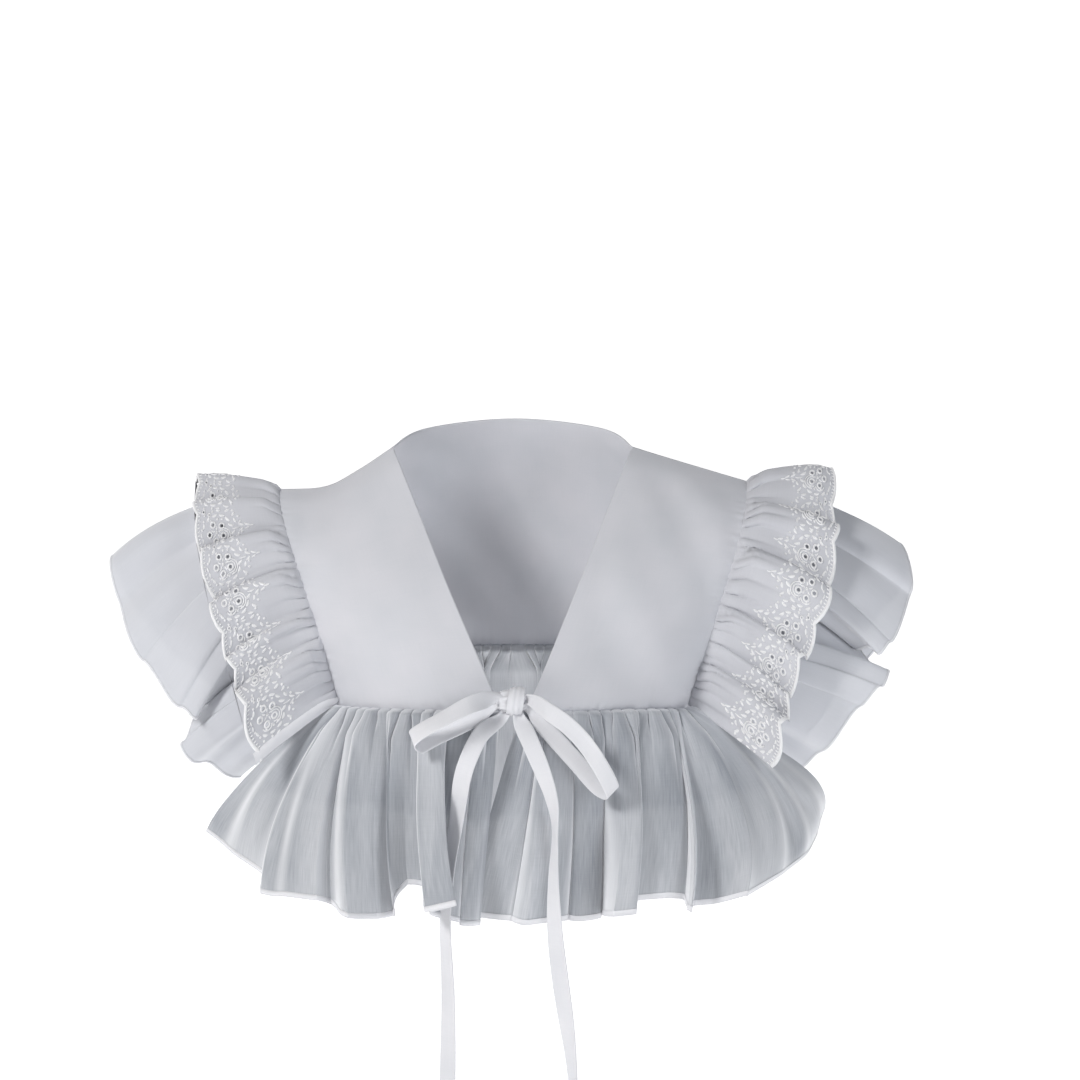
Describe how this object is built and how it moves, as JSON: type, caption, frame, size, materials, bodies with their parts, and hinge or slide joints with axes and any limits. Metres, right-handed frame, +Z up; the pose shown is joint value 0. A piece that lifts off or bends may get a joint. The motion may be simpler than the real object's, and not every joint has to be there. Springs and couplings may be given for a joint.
{
  "type": "detachable collar",
  "caption": "White detachable cape collar with a V neck, plain cotton yoke, eyelet lace and organza shoulder ruffles, sheer gathered flounce and ribbon bow.",
  "frame": {"origin": "middle of the neck opening, level with the points where the neckline crosses the shoulders", "axes": "+X to the viewer's right along the shoulders, +Y from the front to the back, +Z up"},
  "size_m": [0.6231, 0.2951, 0.5041],
  "materials": {
    "yoke_cotton": "matt plain weave",
    "eyelet_lace": "matt embroidered cotton",
    "organza": "sheer, soft sheen",
    "flounce_chiffon": "sheer, soft sheen",
    "tie_ribbon": "matt"
  },
  "bodies": {
    "root": {"yoke_front_left": "yoke_cotton", "yoke_front_right": "yoke_cotton", "yoke_back": "yoke_cotton", "lace_ruffle_left": "eyelet_lace", "lace_ruffle_right": "eyelet_lace", "organza_ruffle_left": "organza", "organza_ruffle_right": "organza", "flounce_front_left": "flounce_chiffon", "flounce_front_right": "flounce_chiffon", "flounce_back": "flounce_chiffon", "tie_knot": "tie_ribbon", "tie_loop_left": "tie_ribbon", "tie_loop_right": "tie_ribbon", "tie_tail_left": "tie_ribbon", "tie_tail_right": "tie_ribbon"}
  },
  "joints": []
}
